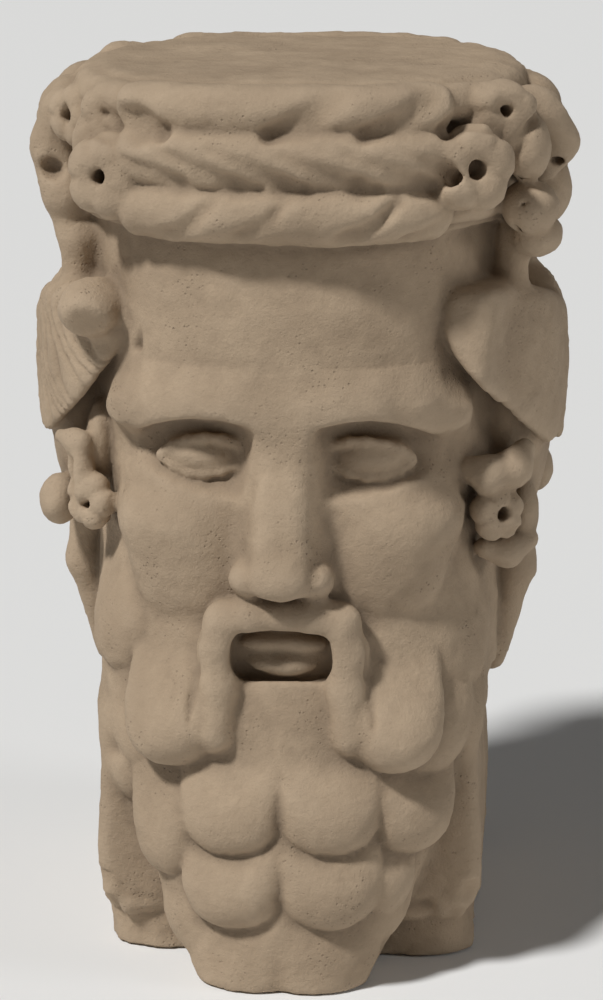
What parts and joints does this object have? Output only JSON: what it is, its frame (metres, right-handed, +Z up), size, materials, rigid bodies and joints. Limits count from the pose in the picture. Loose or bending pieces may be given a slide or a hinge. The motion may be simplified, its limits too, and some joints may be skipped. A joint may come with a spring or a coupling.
{
  "type": "double-faced herm head",
  "caption": "Stone head with bearded faces back to back under a twisted band and drilled flowers, flat on top, with a square neck block to stand on.",
  "frame": {"origin": "centre of the underside, at the middle of the box round the head", "axes": "+Z up, the front face looks along -Y and the rear face along +Y, +X to the right of one who looks at the front face"},
  "size_m": [0.2554, 0.2548, 0.409],
  "materials": {
    "stone": "weathered warm grey stone, matt"
  },
  "bodies": {
    "root": {"janus_head": "stone"}
  },
  "joints": []
}
